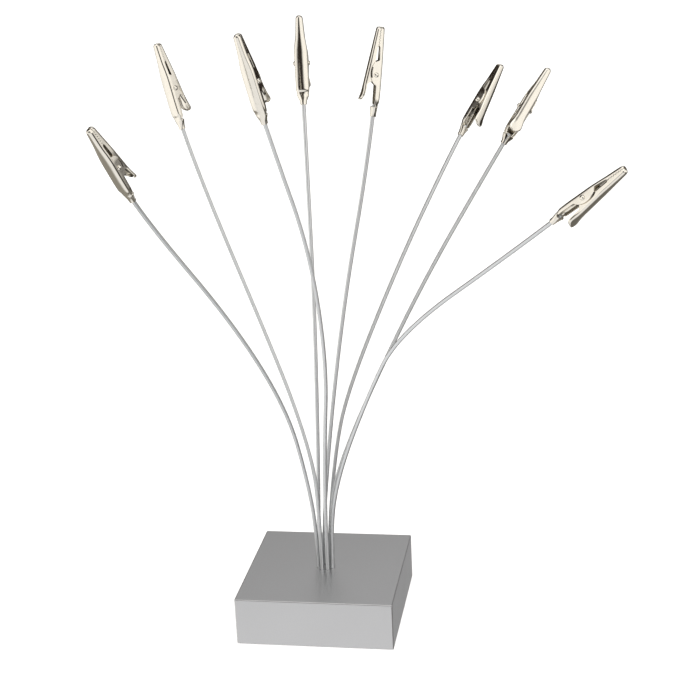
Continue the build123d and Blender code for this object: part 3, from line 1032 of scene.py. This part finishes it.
def add_clip_pieces(context, shape, crisp, node, ending, moving=False):
    """A nickel-plated copy of one of the clip's pieces on each arm."""
    scene = context.scene
    finish = material_for(scene, "nickel")
    for number in ARMS:
        mesh = shape.copy()
        mesh.transform(clip_matrix(number, scene.phototree_sizes, scene.phototree_clip))
        smooth_by_angle(mesh, crisp)
        name = f"{node}_{number}"
        body = f"jaw_{number}" if moving else ROOT_BODY
        add_piece(name + ending, mesh, finish, body, name)


class PHOTOTREE_OT_base(bpy.types.Operator):
    """Make the square base with its ring of holes and the recess under it"""

    bl_idname = "phototree.base"
    bl_label = "Base block"

    def execute(self, context):
        sizes = context.scene.phototree_sizes
        half = sizes.base_width / MM / 2
        low = sizes.base_bottom / MM
        high = sizes.base_top / MM
        block = mesh_from("base_block", box_points(half, low, high), BOX_FACES)
        cutters = []
        for number in ARMS:
            depth = sizes.hole_depth / MM
            rim = sizes.hole_rim / MM
            hole = drum("hole", sizes.hole_radius / MM, -depth, 0, HOLE_SIDES, rim)
            hole.transform(Matrix.Translation(foot_place(number, sizes) / MM))
            cutters.append(hole)
        cut_past = 1
        recess_half = sizes.recess_width / MM / 2
        recess_top = low + sizes.recess_depth / MM
        recess = box_points(recess_half, low - cut_past, recess_top)
        cutters.append(mesh_from("recess", recess, BOX_FACES))

        def round_edges(holder):
            bevel = holder.modifiers.new("round", "BEVEL")
            bevel.width = sizes.edge_round / MM
            bevel.segments = 3
            bevel.limit_method = "ANGLE"
            return cut_from(holder, cutters)

        def keep_faces_flat(holder):
            steady = holder.modifiers.new("steady", "WEIGHTED_NORMAL")
            steady.weight = 100
            steady.keep_sharp = True
            return []

        mesh = with_modifiers(block, round_edges)
        mesh.transform(Matrix.Scale(MM, 4))
        smooth_by_angle(mesh, CRISP_SOLID)
        mesh = with_modifiers(mesh, keep_faces_flat)
        finish = material_for(context.scene, "anodised")
        add_piece("base_block_finished", mesh, finish, ROOT_BODY, "base_block")
        return {"FINISHED"}


class PHOTOTREE_OT_pad(bpy.types.Operator):
    """Give the pad under the base its rubber"""

    bl_idname = "phototree.pad"
    bl_label = "Base pad"

    def execute(self, context):
        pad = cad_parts["base_pad"]
        pad.data.materials.clear()
        pad.data.materials.append(material_for(context.scene, "rubber"))
        return {"FINISHED"}


class PHOTOTREE_OT_wires(bpy.types.Operator):
    """Make the eight bent wires"""

    bl_idname = "phototree.wires"
    bl_label = "Wire arms"

    def execute(self, context):
        sizes = context.scene.phototree_sizes
        finish = material_for(context.scene, "wire")
        for number in ARMS:
            corners = route_corners(number, sizes)
            ahead = (corners[-1] - corners[-2]).normalized()
            deep = corners[0] - Vector((0, 0, sizes.hole_depth - sizes.foot_gap))
            end = corners[-1] + ahead * sizes.wire_grip
            line = smooth_line([deep, *corners[1:-1], end], ROUTE_STEPS)
            mesh = tube_mesh(f"wire_{number}", line, sizes.wire_diameter / 2, WIRE_SIDES)
            name = f"arm_wire_{number}"
            add_piece(name + "_drawn", mesh, finish, ROOT_BODY, name)
        return {"FINISHED"}


class PHOTOTREE_OT_fixed_jaws(bpy.types.Operator):
    """Make the jaw half that is crimped on each wire"""

    bl_idname = "phototree.fixed_jaws"
    bl_label = "Fixed jaws"

    def execute(self, context):
        shape = fixed_jaw_mesh(context.scene.phototree_clip)
        add_clip_pieces(context, shape, CRISP_SHEET, "fixed_jaw", "_pressed")
        return {"FINISHED"}


class PHOTOTREE_OT_moving_jaws(bpy.types.Operator):
    """Make the jaw half with the thumb paddle on each clip"""

    bl_idname = "phototree.moving_jaws"
    bl_label = "Moving jaws"

    def execute(self, context):
        shape = moving_jaw_mesh(context.scene.phototree_clip)
        add_clip_pieces(context, shape, CRISP_SHEET, "moving_jaw", "_pressed", moving=True)
        return {"FINISHED"}


class PHOTOTREE_OT_pins(bpy.types.Operator):
    """Make the rivet of each clip"""

    bl_idname = "phototree.pins"
    bl_label = "Pivot pins"

    def execute(self, context):
        shape = pin_mesh(context.scene.phototree_clip)
        add_clip_pieces(context, shape, CRISP_SOLID, "pivot_pin", "_headed")
        return {"FINISHED"}


class PHOTOTREE_OT_springs(bpy.types.Operator):
    """Make the torsion spring of each clip, as it lies with the jaw shut"""

    bl_idname = "phototree.springs"
    bl_label = "Jaw springs"

    def execute(self, context):
        sizes = context.scene.phototree_sizes
        clip = context.scene.phototree_clip
        finish = material_for(context.scene, "spring")
        points, half_span = spring_points(clip)
        for number in ARMS:
            place = clip_matrix(number, sizes, clip)
            line = [place @ point for point in points]
            mesh = tube_mesh(f"spring_{number}", line, clip.spring_wire / 2, SPRING_SIDES)
            name = f"jaw_spring_{number}"
            spring = add_piece(name + "_wound", mesh, finish, None, name)
            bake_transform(spring)
        return {"FINISHED"}


# The studio round the stand, as soft round panels: the bearing in degrees from straight in front
# of the stand towards its right, the height and the half width in degrees, the brightness and the
# colour. Between them the room is dim, which gives the plated metal its black reflections.
ROOM_COLOUR = "#2d2723"
PANELS = (
    (-115, -46, 30, 0.36, "#f4efe2"),
    (-160, -4, 24, 0.20, "#f0e9dc"),
    (125, -52, 34, 0.20, "#f0ebe0"),
    (172, -26, 24, 0.50, "#fafafa"),
    (160, 6, 14, 0.40, "#fafafa"),
    (-176, 52, 28, 0.80, "#fafafa"),
    (0, 66, 25, 1.60, "#fffefc"),
    (94, 6, 25, 0.95, "#fffdf9"),
    (-105, -14, 20, 1.15, "#fffdf9"),
    (50, 20, 36, 1.25, "#fffdf9"),
    (48, 52, 24, 1.15, "#fffdf9"),
    (-62, -8, 34, 1.25, "#fffdf9"),
    (-52, 34, 24, 1.15, "#fffdf9"),
    (-8, -50, 40, 1.05, "#fdfdfd"),
)

# The side of the camera's square sensor, in millimetres
SENSOR = 36

# The sky's dome: the sides of each ring, and its rings from the floor up
SKY_SIDES = 48
SKY_RINGS = 12


def direction(turn, rise):
    """A unit vector, turned from straight in front towards the right and raised."""
    level = math.cos(rise)
    return Vector((math.sin(turn) * level, -math.cos(turn) * level, math.sin(rise)))


class PHOTOTREE_OT_stage(bpy.types.Operator):
    """Set the camera, the white floor and sky, and the studio's light"""

    bl_idname = "phototree.stage"
    bl_label = "Stage"

    def execute(self, context):
        scene = context.scene
        stage = scene.phototree_stage
        self.set_camera(scene, stage)
        self.lay_paper(scene, stage)
        self.light_room(scene, stage)
        scene.view_settings.view_transform = "Standard"
        return {"FINISHED"}

    def set_camera(self, scene, stage):
        """A camera where the photograph's was, rolled a little as it was."""
        back = direction(stage.azimuth, stage.elevation)
        level = Vector((math.cos(stage.azimuth), math.sin(stage.azimuth), 0))
        upright = back.cross(level)
        right = level * math.cos(stage.roll) + upright * math.sin(stage.roll)
        up = back.cross(right)
        data = bpy.data.cameras.new("camera")
        data.lens = stage.focal_mm
        data.sensor_width = SENSOR
        data.sensor_height = SENSOR
        data.sensor_fit = "HORIZONTAL"
        camera = bpy.data.objects.new("camera", data)
        scene.collection.objects.link(camera)
        camera.matrix_world = Matrix((right, up, back)).transposed().to_4x4()
        camera.location = right * stage.aim_right + up * stage.aim_up + back * stage.distance
        scene.camera = camera

    def lay_paper(self, scene, stage):
        """A white floor with a white sky over it. Neither shows in the metal, so the panels do."""
        reach = stage.paper_reach
        corners = [(-reach, -reach, 0), (reach, -reach, 0), (reach, reach, 0), (-reach, reach, 0)]
        floor_mesh = mesh_from("floor", corners, [(0, 1, 2, 3)])
        points = []
        for ring in range(SKY_RINGS):
            rise = math.pi / 2 * ring / SKY_RINGS
            wide, high = reach * math.cos(rise), reach * math.sin(rise)
            points += [(wide * x, wide * y, high) for x, y in circle(SKY_SIDES)]
        points.append((0, 0, reach))
        faces = ring_faces(SKY_RINGS, SKY_SIDES)
        last = (SKY_RINGS - 1) * SKY_SIDES
        for side in range(SKY_SIDES):
            faces.append((last + side, last + (side + 1) % SKY_SIDES, len(points) - 1))
        sky_mesh = mesh_from("sky", points, faces)
        for name, mesh in (("floor", floor_mesh), ("sky", sky_mesh)):
            mesh.materials.append(material_for(scene, "paper"))
            paper = bpy.data.objects.new(name, mesh)
            scene.collection.objects.link(paper)
            paper.visible_glossy = False
            if name == "sky":
                paper.visible_diffuse = False
                paper.visible_shadow = False

    def light_room(self, scene, stage):
        """A dim room with the panels in it."""
        world = bpy.data.worlds.new("studio")
        scene.world = world
        world.use_nodes = True
        tree = world.node_tree
        tree.nodes.clear()
        way = add_node(tree, "ShaderNodeTexCoord").outputs["Generated"]
        fixed = {MIX_A: linear_colour(ROOM_COLOUR)}
        links = {}
        for bearing, height, width, brightness, colour in PANELS:
            aim = direction(math.radians(bearing), math.radians(height))
            near = add_node(
                tree, "ShaderNodeVectorMath", {1: aim}, {0: way}, operation="DOT_PRODUCT"
            ).outputs["Value"]
            share = add_node(
                tree,
                "ShaderNodeMapRange",
                {
                    "From Min": math.cos(math.radians(width + stage.panel_edge / 2)),
                    "From Max": math.cos(math.radians(width - stage.panel_edge / 2)),
                },
                {"Value": near},
                interpolation_type="SMOOTHSTEP",
            ).outputs["Result"]
            glow = tuple(brightness * channel for channel in linear_colour(colour)[:3]) + (1.0,)
            light = add_node(
                tree,
                "ShaderNodeMix",
                {**fixed, MIX_B: glow},
                {**links, MIX_FACTOR: share},
                data_type="RGBA",
            ).outputs[MIX_RESULT]
            fixed = {}
            links = {MIX_A: light}
        sky = add_node(
            tree, "ShaderNodeBackground", {"Strength": stage.room_strength}, {"Color": light}
        )
        add_node(tree, "ShaderNodeOutputWorld", links={"Surface": sky.outputs["Background"]})


class PHOTOTREE_PT_panel(bpy.types.Panel):
    """Buttons that make each group of pieces, and the sizes that they use"""

    bl_idname = "PHOTOTREE_PT_panel"
    bl_label = "Photo tree stand"
    bl_space_type = "VIEW_3D"
    bl_region_type = "UI"
    bl_category = "Photo tree"

    def draw(self, context):
        for maker in OPERATORS:
            self.layout.operator(maker.bl_idname)
        for name in GROUPS:
            group = getattr(context.scene, name)
            box = self.layout.box()
            for field in group.bl_rna.properties:
                if field.identifier not in ("rna_type", "name"):
                    box.prop(group, field.identifier)


OPERATORS = (
    PHOTOTREE_OT_stage,
    PHOTOTREE_OT_base,
    PHOTOTREE_OT_pad,
    PHOTOTREE_OT_wires,
    PHOTOTREE_OT_fixed_jaws,
    PHOTOTREE_OT_moving_jaws,
    PHOTOTREE_OT_pins,
    PHOTOTREE_OT_springs,
)
GROUPS = {
    "phototree_sizes": StandSizes,
    "phototree_clip": ClipSizes,
    "phototree_colours": StandColours,
    "phototree_stage": StageSettings,
}


def register():
    for group in GROUPS.values():
        bpy.utils.register_class(group)
    for name, group in GROUPS.items():
        setattr(bpy.types.Scene, name, bpy.props.PointerProperty(type=group))
    for maker in (*OPERATORS, PHOTOTREE_PT_panel):
        bpy.utils.register_class(maker)


def unregister():
    for maker in reversed((*OPERATORS, PHOTOTREE_PT_panel)):
        bpy.utils.unregister_class(maker)
    for name, group in GROUPS.items():
        delattr(bpy.types.Scene, name)
        bpy.utils.unregister_class(group)


def main():
    register()
    bpy.ops.phototree.stage()
    bpy.ops.phototree.base()
    bpy.ops.phototree.pad()
    bpy.ops.phototree.wires()
    bpy.ops.phototree.fixed_jaws()
    bpy.ops.phototree.moving_jaws()
    bpy.ops.phototree.pins()
    bpy.ops.phototree.springs()


if __name__ == "__main__":
    main()
